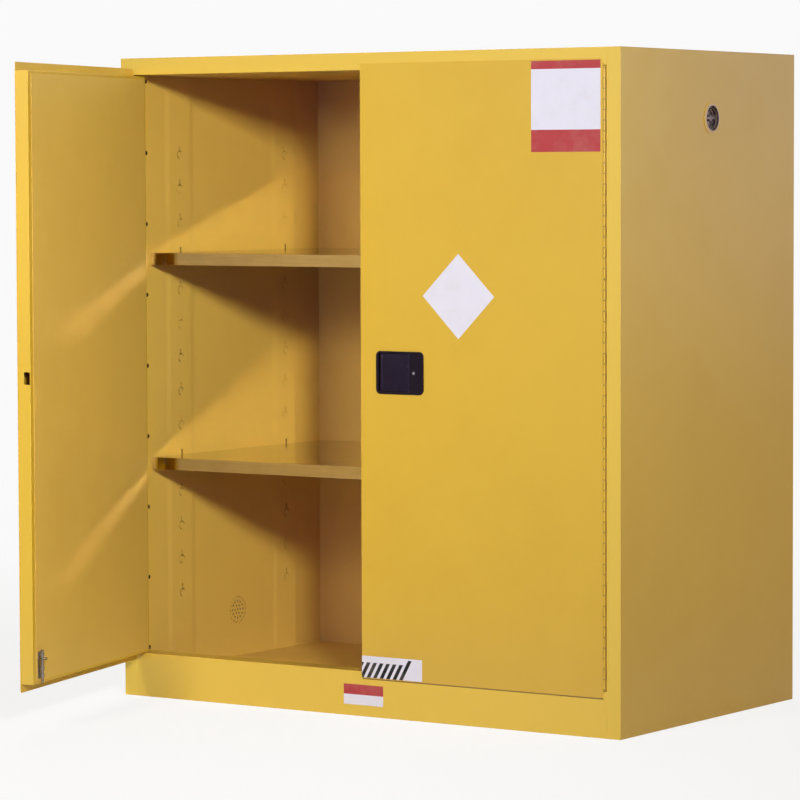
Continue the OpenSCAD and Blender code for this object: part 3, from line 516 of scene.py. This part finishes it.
def grid_faces(rows, cols, wrap):
    """Quads between the neighbours of a grid of points; wrap joins its last column to the first."""
    r, c = np.meshgrid(np.arange(rows - 1), np.arange(cols if wrap else cols - 1), indexing="ij")
    a, b = r * cols + c, r * cols + (c + 1) % cols
    return np.stack([a, b, b + cols, a + cols], axis=-1).reshape(-1, 4)


def piece(name, grids, mat, body):
    """One object made of grids of points in metres, each (points, wrap). Doubles are merged, which
    closes seams and poles, and the faces are turned outwards."""
    verts, faces, start = [], [], 0
    for points, wrap in grids:
        rows, cols = points.shape[:2]
        verts.append(points.reshape(-1, 3))
        faces.append(grid_faces(rows, cols, wrap) + start)
        start += rows * cols
    mesh = bpy.data.meshes.new(name)
    mesh.from_pydata(np.concatenate(verts).tolist(), [], np.concatenate(faces).tolist())
    work = bmesh.new()
    work.from_mesh(mesh)
    bmesh.ops.remove_doubles(work, verts=work.verts, dist=MERGE)
    bmesh.ops.recalc_face_normals(work, faces=work.faces)
    work.to_mesh(mesh)
    work.free()
    mesh.materials.append(mat)
    mesh.shade_smooth()
    mesh.set_sharp_from_angle(angle=math.radians(SHARP_ANGLE))
    obj = bpy.data.objects.new(name, mesh)
    bpy.context.scene.collection.objects.link(obj)
    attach(obj, body)
    return obj


def arc(radius, along, size, start, end, steps=5):
    """Points of a round edge in a lathe profile: centre, size, and first and last angle in
    degrees."""
    a = np.radians(np.linspace(start, end, steps))
    return list(zip(radius + size * np.cos(a), along + size * np.sin(a)))


def lathe(profile, steps, thread=None):
    """Profile of (radius, along) in millimetres turned about the along axis, which comes first in
    each point. With thread = (low, high, pitch, depth) the radius between low and high falls and
    rises as the cosine of (2 pi along / pitch - angle), which is a helix."""
    r, x = np.array(profile, float).T[:, :, None]
    t = np.linspace(0.0, TURN, steps, endpoint=False)[None, :]
    r, x = r + 0.0 * t, x + 0.0 * t
    if thread:
        low, high, pitch, depth = thread
        fade = np.clip(np.minimum(x - low, high - x) / pitch, 0.0, 1.0)
        r = r - depth * fade * (0.5 + 0.5 * np.cos(TURN * x / pitch - t))
    return np.stack([x, r * np.cos(t), r * np.sin(t)], axis=-1)


def aim(points, axis, at):
    """Turned points in millimetres carried to a place in metres, with their along axis pointing to
    +X, -X, -Y, +Z or -Z."""
    x, y, z = points[..., 0], points[..., 1], points[..., 2]
    turned = {"+X": (x, y, z), "-X": (-x, -y, z), "-Y": (y, -x, z), "+Z": (y, z, x),
              "-Z": (z, y, -x)}[axis]
    return np.stack(turned, axis=-1) * MM + np.array(at)


def closed(profile):
    """A profile that comes back to its first point, for a ring with a bore."""
    return list(profile) + [profile[0]]


def rounded_loop(x0, x1, z0, z1, r):
    """Points round a rectangle in XZ with circular corners, and always the same number of them."""
    a = np.linspace(0.0, 0.5 * np.pi, 9)
    middles = [(x1 - r, z1 - r), (x0 + r, z1 - r), (x0 + r, z0 + r), (x1 - r, z0 + r)]
    quarters = [(x + r * np.cos(a + k * 0.5 * np.pi), z + r * np.sin(a + k * 0.5 * np.pi))
                for k, (x, z) in enumerate(middles)]
    return np.concatenate([np.stack(q, axis=-1) for q in quarters])


def framed(x0, x1, z0, z1, r, rows):
    """Loft of rounded rectangles one inside another, each row (inset, y) in millimetres, closed
    from the last row to the first."""
    loops = []
    for inset, y in closed(rows):
        xz = rounded_loop(x0 + inset, x1 - inset, z0 + inset, z1 - inset, max(r - inset, 0.5))
        loops.append(np.stack([xz[:, 0], np.full(len(xz), y), xz[:, 1]], axis=-1))
    return np.array(loops) * MM


def cushion(x, z, y, back):
    """Front sheet over a grid of x and z at the depths y, and a flat one behind it, joined round
    the rim."""
    gx, gz = np.meshgrid(x, z)
    rim = np.ones_like(gx, bool)
    rim[1:-1, 1:-1] = False
    front = np.where(rim, back, y)
    return [(np.stack([gx, front, gz], axis=-1) * MM, False),
            (np.stack([gx, np.full_like(gx, back), gz], axis=-1) * MM, False)]


def crowded(low, high, count):
    """Numbers from low to high, closer together at both ends by a cosine."""
    return low + (high - low) * (0.5 - 0.5 * np.cos(np.linspace(0.0, np.pi, count)))


# ------------------------------------------------------------------ paddle latch
# Sizes and places in millimetres.

PLATE_Y = 1000.0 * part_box("paddle_housing")[0].y        # front of the latch's plate
SKIN_Y = 1000.0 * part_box("door_skin_right")[0].y        # front of the door's face sheet
BEZEL_CORNER = 12.0
FLAP_X, FLAP_Z = (62.2, 141.0), (815.2, 906.8)          # the paddle's face
FLAP_EDGE, FLAP_SWELL, FLAP_CROWN = 1.2, 0.5, 0.9       # width and height of its edge, its crown
GRIP_X, GRIP_WIDTH, GRIP_HEIGHT = 66.2, 2.6, 2.6        # ridge that the fingers pull
GRIP_Z, GRIP_FADE = (818.0, 904.0), 9.0


def latch_bezel():
    """Raised rim round the latch: a loft of rounded rectangles with a bevelled outer edge and a
    rolled top, from the door's sheet to the plate."""
    low, high = (1000.0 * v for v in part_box("paddle_housing"))
    section = [(0.0, 0.6), (0.3, -0.1), (0.9, -0.5), (1.8, -0.65), (3.8, -0.6), (4.9, -0.45),
               (5.6, -0.1), (5.9, 0.6), (3.0, 1.5), (0.6, 2.0)]
    rows = [(0.0, SKIN_Y - 0.05)] + [(inset, PLATE_Y + y) for inset, y in section]
    loft = framed(low.x, high.x, low.z, high.z, BEZEL_CORNER, rows)
    piece("latch_bezel", [(loft, True)], latch_black, "right_door")


def paddle_face():
    """Moulded face of the paddle: a low crown over the flap, quarter-round at its edges, with a
    grip ridge that swells as a bell curve across and fades out at both ends."""
    x, z = crowded(*FLAP_X, 60), crowded(*FLAP_Z, 60)
    gx, gz = np.meshgrid(x, z)
    u = (2 * gx - x[0] - x[-1]) / (x[-1] - x[0])
    v = (2 * gz - z[0] - z[-1]) / (z[-1] - z[0])
    edge = np.minimum(np.minimum(gx - x[0], x[-1] - gx), np.minimum(gz - z[0], z[-1] - gz))
    round_off = 1.0 - (1.0 - np.clip(edge / FLAP_EDGE, 0, 1)) ** 2
    swell = FLAP_SWELL * np.sqrt(np.clip(round_off, 0, 1))
    crown = FLAP_CROWN * (1.0 - u ** 2) * (1.0 - v ** 2)
    fade = np.clip(np.minimum(gz - GRIP_Z[0], GRIP_Z[1] - gz) / GRIP_FADE, 0.0, 1.0)
    bell = np.exp(-((gx - GRIP_X) / GRIP_WIDTH) ** 2)
    ridge = GRIP_HEIGHT * bell * np.sin(0.5 * np.pi * fade)
    grids = cushion(x, z, PLATE_Y - swell - crown - ridge, PLATE_Y + 0.3)
    piece("paddle_face", grids, paddle_black, "paddle")


def lock_face():
    """Rolled ring round the lock, turned about the lock's axis."""
    low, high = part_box("lock_barrel")
    at = ((low.x + high.x) / 2, PLATE_Y * MM, (low.z + high.z) / 2)
    ring = closed([(5.62, -1.0)] + arc(6.2, 0.75, 0.5, 180, 90) + arc(7.9, 0.55, 0.7, 90, 0)
                  + [(8.6, -0.2), (8.0, -1.0)])
    piece("lock_ring", [(aim(lathe(ring, 40), "-Y", at), True)], latch_black, "right_door")


latch_bezel()
paddle_face()
lock_face()

# ------------------------------------------------------------------ vents
# Profiles in millimetres of radius, and of the way out from the side panel's outer face.

PANEL_X = 1000.0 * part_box("side_shell_right")[1].x      # outer face of a side panel

COLLAR = closed([(30.6, 1.2)] + arc(31.9, 1.5, 1.0, 180, 60, 6)
                + [(33.6, 1.9), (34.8, 1.55), (33.0, 1.4)])
# dark sleeve in the bore, painted shade
BORE_SHADE_SLEEVE = closed([(29.95, -3.3), (29.3, -3.3), (29.3, 0.9)] + arc(30.0, 1.2, 0.7, 180, 45, 5)
              + [(30.9, 1.45), (29.95, 1.3)])
DISH = ([(0.0, -11.4), (22.5, -11.4)] + arc(23.8, -10.1, 1.3, -90, 0, 4) + [(25.2, -5.2)]
        + arc(26.4, -4.7, 1.2, 180, 90, 4) + arc(28.4, -4.7, 1.2, 90, 0, 4) + [(29.6, -5.6)])
SKIRT = [(29.6, x) for x in np.linspace(-6.0, -16.6, 40)] + [(28.4, -17.4), (0.0, -17.4)]
SKIRT_THREAD = (-16.8, -5.9, 2.3, 0.7)                  # first and last place, pitch, depth
BOSS = ([(0.0, -8.6), (3.4, -8.4), (3.5, -4.2)] + arc(4.3, -4.3, 0.7, 180, 90, 4)
        + arc(6.4, -4.7, 1.1, 90, 0, 4) + [(8.2, -10.8), (8.4, -11.8), (0.0, -11.8)])


def squared(v):
    """A sine or cosine pushed out towards a box: its size to the power 0.6, with its sign."""
    return np.sign(v) * np.abs(v) ** 0.6


def bung_bar():
    """Bar across the bung's dish: a rounded box section that swells towards its ends as powers of
    the way along it, and closes in a point at each end."""
    s = np.linspace(-1.0, 1.0, 25)[:, None]
    t = np.linspace(0.0, TURN, 24, endpoint=False)[None, :]
    shut = np.where(np.abs(s) < 1.0, 1.0, 0.0)
    out = -8.0 + (3.6 + 0.2 * s ** 2) * squared(np.cos(t)) * shut
    across = (3.9 + 1.3 * s ** 4) * squared(np.sin(t)) * shut
    return np.stack([out, 25.6 * s + 0.0 * t, across], axis=-1)


def vent(side, node, body):
    """Rolled collar of a vent in a paler colour as a painted highlight, a dark sleeve in its bore
    as
    painted shade, and its bung: a dished disc with a rounded rim, a threaded skirt, a bar across
    the dish, and a boss with a socket in the middle."""
    low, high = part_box(node)
    axis = "+X" if side > 0 else "-X"
    at = (side * PANEL_X * MM, (low.y + high.y) / 2, (low.z + high.z) / 2)
    name = side_name(side)
    # the rim's paler colour is a painted highlight
    piece("vent_rim_" + name, [(aim(lathe(COLLAR, 72), axis, at), True)], rim_highlight, "cabinet")
    piece("vent_bore_shade_" + name, [(aim(lathe(BORE_SHADE_SLEEVE, 72), axis, at), True)], bore_shade_brown, "cabinet")
    forms = (lathe(DISH + SKIRT, 64, SKIRT_THREAD), bung_bar(), lathe(BOSS, 32))
    piece(node + "_cap", [(aim(g, axis, at), True) for g in forms], bung_grey, body)


vent(1, "bung_right", "right_bung")
vent(-1, "bung_left", "left_bung")
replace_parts(bpy.data.objects["bung_right_cap"], "bung_right")
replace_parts(bpy.data.objects["bung_left_cap"], "bung_left")

# ------------------------------------------------------------------ slot strips
# Sizes in millimetres.

STRIP_WIDTH = 76.0
SHOULDER = 26.0             # width of the slope at each edge of a strip
BURIED = 0.4                # depth of its back behind the wall's face
LAP = 0.05                  # the slope starts this far inside the strip's edge
END_GAP = 0.5               # and ends this far from the strip's two ends


def strip_shoulders(side):
    """Pressed shoulders of the slotted strips: the wall rises to the strip along half a cosine
    wave."""
    low, high = (1000.0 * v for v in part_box("slot_strips_" + side_name(side)))
    inner, outer = (low.x, high.x) if side > 0 else (high.x, low.x)
    t = np.linspace(0.0, 1.0, 12)
    x = inner + (outer - inner) * (0.5 - 0.5 * np.cos(np.pi * t))
    x = np.append(x, [outer + side * BURIED, inner + side * BURIED])
    out = np.append(SHOULDER * t, [SHOULDER, 0.0])
    edges = ((low.y, -1), (low.y + STRIP_WIDTH, 1), (high.y - STRIP_WIDTH, -1), (high.y, 1))
    grids = []
    for edge, way in edges:
        y = edge + way * (out - LAP)
        loop = np.stack([x, y, 0.0 * x], axis=-1)
        rows = [loop + [0.0, 0.0, z] for z in (low.z + END_GAP, high.z - END_GAP)]
        ends = [np.broadcast_to(row.mean(axis=0), row.shape) for row in rows]
        grids.append((np.array([ends[0], rows[0], rows[1], ends[1]]) * MM, True))
    piece("strip_shoulders_" + side_name(side), grids, lining, "cabinet")


strip_shoulders(-1)
strip_shoulders(1)

# ------------------------------------------------------------------ rivets, hinge tips, earth stud
# Sizes in millimetres, except for the lining's place.

LINING_X = 0.710            # metres from the middle to a side lining's inner face
RIVETS = 9                  # down each side
RIVET_SOLID = 4.5           # radius of the solid's rivets, whose places these follow
RIVET_HEAD, RIVET_DOME = 5.6, 1.6           # radius and height of a head
PIN_TIP, PIN_TIP_DOME = 3.7, 2.9            # radius and height of a hinge pin's tip
PIN_TIP_LIFT = 1.2          # length of the tip's stem, which stands on the pin's end
STUD_THREAD = (-0.5, 24.6, 1.25, 0.55)      # first and last place, pitch, depth
NUT_CORNER = 7.6            # from the nut's axis to a corner


def rivets():
    """Domed rivet heads down both front edges of the lining, each a quarter ellipse turned about
    its axis."""
    low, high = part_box("liner_rivets")
    y, first = (low.y + high.y) / 2, low.z + RIVET_SOLID * MM
    step = (high.z - low.z - 2 * RIVET_SOLID * MM) / (RIVETS - 1)
    a = np.linspace(0.0, 0.5 * np.pi, 5)
    dome = zip(RIVET_HEAD * np.cos(a), 0.25 + RIVET_DOME * np.sin(a))
    head = lathe([(0.0, 0.0), (RIVET_HEAD - 0.3, 0.0)] + list(dome), 14)
    grids = []
    for side, axis in ((-1, "+X"), (1, "-X")):
        for k in range(RIVETS):
            grids.append((aim(head, axis, (side * LINING_X, y, first + k * step)), True))
    return piece("rivet_heads", grids, rivet_steel, "cabinet")


def hinge_tips():
    """Domed tips of the hinge pins over and under the knuckles: a short stem with a half-round
    head."""
    a = np.linspace(0.0, 0.5 * np.pi, 7)
    dome = zip(PIN_TIP * np.cos(a), 0.9 + PIN_TIP_DOME * np.sin(a))
    stem = [(0.0, -PIN_TIP_LIFT), (2.2, -PIN_TIP_LIFT), (2.2, 0.3), (3.2, 0.4)]
    tip = lathe(stem + list(dome), 28)
    lift = PIN_TIP_LIFT * MM
    grids = []
    for side in ("left", "right"):
        low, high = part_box("hinge_pin_" + side)
        x, y = (low.x + high.x) / 2, (low.y + high.y) / 2
        grids += [(aim(tip, "+Z", (x, y, high.z + lift)), True),
                  (aim(tip, "-Z", (x, y, low.z - lift)), True)]
    piece("hinge_pin_tips", grids, shell_yellow, "cabinet")


def earth_terminal():
    """Threaded stud with a chamfered end, a chamfered hexagon nut and a washer, on the left side
    panel. The nut's radius follows a hexagon, limited near its two faces by a cone."""
    low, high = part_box("earth_nuts")
    at = (-PANEL_X * MM, (low.y + high.y) / 2, (low.z + high.z) / 2)
    shank = [(4.0, x) for x in np.linspace(24.2, 0.0, 120)]
    stud = lathe([(0.0, 25.0), (3.2, 25.0)] + shank
                 + [(3.8, -1.2), (7.0, -1.2), (7.0, -4.2), (0.0, -4.2)], 24, STUD_THREAD)
    screw = piece("earth_stud_thread", [(aim(stud, "-X", at), True)], brass, "cabinet")
    t = np.linspace(0.0, TURN, 72, endpoint=False)[None, :]
    flat = math.pi / 3
    hexagon = NUT_CORNER * math.cos(flat / 2) / np.cos(np.mod(t, flat) - flat / 2)
    section = [(4.05, 1.9), (4.05, 6.0), (4.4, 6.5), (6.5, 6.5), (7.0, 6.2), (7.7, 5.8),
               (7.7, 2.2), (7.0, 1.8), (6.5, 1.5), (4.4, 1.5), (4.05, 1.9)]
    r, x = np.array(section).T[:, :, None]
    r = np.minimum(r, hexagon)
    nut = np.stack([x + 0.0 * t, r * np.cos(t), r * np.sin(t)], axis=-1)
    washer = lathe(closed([(4.3, 0.0), (4.3, 1.3), (4.5, 1.5), (8.3, 1.5), (8.6, 1.25),
                           (8.6, 0.0)]), 48)
    grids = [(aim(g, "-X", at), True) for g in (nut, washer)]
    ring = piece("earth_nut_and_washer", grids, brass, "cabinet")
    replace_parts(screw, "earth_stud")
    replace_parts(ring, "earth_nuts")


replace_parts(rivets(), "liner_rivets")
hinge_tips()
earth_terminal()

# ------------------------------------------------------------------ folded edges

FOLDED = ["door_skin_left", "door_skin_right", "door_pan_left", "door_pan_right",
          "side_shell_left", "side_shell_right", "top_shell", "front_sill", "shelf_upper",
          "shelf_lower"]
FOLD_WIDTH = 0.5 * MM
FOLD_ANGLE = 40.0           # degrees; edges over it are rounded


def soften(node):
    """Small round edges on folded sheet: the loose triangles are welded, and sharp edges are
    bevelled."""
    obj = NODES[node]
    weld = obj.modifiers.new("weld", "WELD")
    weld.merge_threshold = MERGE
    bevel = obj.modifiers.new("edge", "BEVEL")
    bevel.width, bevel.segments, bevel.limit_method = FOLD_WIDTH, 2, "ANGLE"
    bevel.angle_limit = math.radians(FOLD_ANGLE)


for folded in FOLDED:
    soften(folded)

# ------------------------------------------------------------------ stage and light

MIDDLE = (0.0, 0.0, 0.85)   # of the cabinet
OPEN_DOOR = (-0.9, -0.8, 1.1)           # the key lamp looks at it
FLOOR_HALF = 60.0           # metres from the middle to the floor's edge
NEAR, FAR = 1.5, 7.0        # metres over which the floor fades into the background
BACKGROUND = "#fafafa"


def soft_lamp(name, azimuth, height, distance, size, power, spread=180.0, target=MIDDLE,
              tint=(1.0, 1.0, 1.0)):
    """Rectangular lamp placed round the cabinet's middle by an azimuth and a height in degrees; it
    looks at the target and its light narrows to the spread, in degrees."""
    data = bpy.data.lights.new(name, "AREA")
    data.shape, data.size, data.size_y, data.energy = "RECTANGLE", size[0], size[1], power
    data.spread, data.color = math.radians(spread), tint
    lamp = bpy.data.objects.new(name, data)
    lamp.location = Vector(MIDDLE) + Vector(direction(azimuth, height)) * distance
    lamp.rotation_mode = "QUATERNION"
    lamp.rotation_quaternion = (lamp.location - Vector(target)).to_track_quat("Z", "Y")
    bpy.context.scene.collection.objects.link(lamp)
    return lamp


def lamps():
    """Key and front lamps, which make the shadows; a cool fill that reaches into the open side,
    where the paint's own light is all orange; and lamps for the side, the back and the rear."""
    soft_lamp("key_lamp", 40.5, 15.4, 7.5, (0.7, 0.65), 45.5, 60.0, OPEN_DOOR)
    soft_lamp("front_lamp", -2.7, 16.5, 5.0, (0.55, 0.65), 45.0)
    fill = soft_lamp("cool_fill", 24.0, 4.0, 6.0, (2.0, 2.0), 92.0, tint=(0.03, 0.0, 1.0))
    fill.visible_glossy = False             # it tints no shine on the shelves' metal
    soft_lamp("side_lamp", 105.0, -4.0, 2.3, (0.8, 0.8), 2.1, tint=(1.0, 0.53, 0.42))
    back = soft_lamp("back_lamp", -140.0, 25.0, 6.0, (3.0, 3.0), 110.0)
    back.visible_glossy = False             # no white glare of it on the top panel
    soft_lamp("rear_lamp", 146.0, 12.0, 5.0, (2.5, 2.5), 8.0, tint=(1.0, 0.78, 0.8))
    return fill


def first_shine(tree, path):
    """1 for a glossy ray that has met no dull surface on its way."""
    return times(tree, path["Is Glossy Ray"], below(tree, path["Diffuse Depth"], 0.5))


def studio_world():
    """World that is white to the camera and in a first shine, and a soft grey to dull surfaces."""
    world = bpy.data.worlds.new("studio")
    world.use_nodes = True
    bpy.context.scene.world = world
    tree = world.node_tree
    tree.nodes.clear()
    path = add(tree, "ShaderNodeLightPath").outputs
    seen = larger(tree, path["Is Camera Ray"], first_shine(tree, path))
    seen = larger(tree, seen, path["Is Transmission Ray"])
    soft = add(tree, "ShaderNodeBackground", Color=(1, 1, 1, 1), Strength=0.1)
    white = add(tree, "ShaderNodeBackground", Color=paint(BACKGROUND), Strength=1.0)
    mix = add(tree, "ShaderNodeMixShader", _0=seen, _1=soft.outputs[0], _2=white.outputs[0])
    add(tree, "ShaderNodeOutputWorld", Surface=mix.outputs[0])


def floor_material():
    """Plain grey to the light. To the camera it is pale, keeps the shadow near the cabinet and
    fades into the background further out; a first shine sees a fifth of that."""
    mat = bpy.data.materials.new("studio_floor")
    mat.use_nodes = True
    tree = mat.node_tree
    tree.nodes.clear()
    path = add(tree, "ShaderNodeLightPath").outputs
    seen = larger(tree, path["Is Camera Ray"], path["Is Transmission Ray"])
    seen = larger(tree, seen, times(tree, first_shine(tree, path), 0.2))
    plain = add(tree, "ShaderNodeBsdfDiffuse", Color=(0.7, 0.7, 0.7, 1))
    pale = add(tree, "ShaderNodeBsdfDiffuse", Color=(0.25, 0.25, 0.25, 1))
    glow = add(tree, "ShaderNodeEmission", Color=(1, 1, 1, 1), Strength=0.8)
    near = add(tree, "ShaderNodeAddShader", _0=pale.outputs[0], _1=glow.outputs[0])
    away = add(tree, "ShaderNodeEmission", Color=paint(BACKGROUND), Strength=1.0)
    at = add(tree, "ShaderNodeTexCoord").outputs["Object"]
    reach = add(tree, "ShaderNodeVectorMath", {"operation": "LENGTH"}, _0=at).outputs[1]
    shown = add(tree, "ShaderNodeMixShader", _0=remap(tree, reach, NEAR, FAR),
                _1=near.outputs[0], _2=away.outputs[0])
    mix = add(tree, "ShaderNodeMixShader", _0=seen, _1=plain.outputs[0], _2=shown.outputs[0])
    add(tree, "ShaderNodeOutputMaterial", Surface=mix.outputs[0])
    return mat


def studio_floor(fill):
    """Flat floor round the cabinet, which the cool fill doesn't light."""
    mesh = bpy.data.meshes.new("studio_floor")
    corners = [(x * FLOOR_HALF, y * FLOOR_HALF, 0) for x, y in ((-1, -1), (1, -1), (1, 1), (-1, 1))]
    mesh.from_pydata(corners, [], [(0, 1, 2, 3)])
    floor = bpy.data.objects.new("studio_floor", mesh)
    bpy.context.scene.collection.objects.link(floor)
    mesh.materials.append(floor_material())
    unlit = bpy.data.collections.new("floor_keeps_off_fill")
    unlit.objects.link(floor)
    unlit.collection_objects[0].light_linking.link_state = "EXCLUDE"
    fill.light_linking.receiver_collection = unlit


cool_fill = lamps()
studio_world()
studio_floor(cool_fill)
scene = bpy.context.scene
scene.view_settings.view_transform = "Standard"
scene.cycles.blur_glossy = 0.0              # the shelves' shine falls on the walls as clear wedges
scene.cycles.sample_clamp_indirect = 0.0    # and keeps its full strength
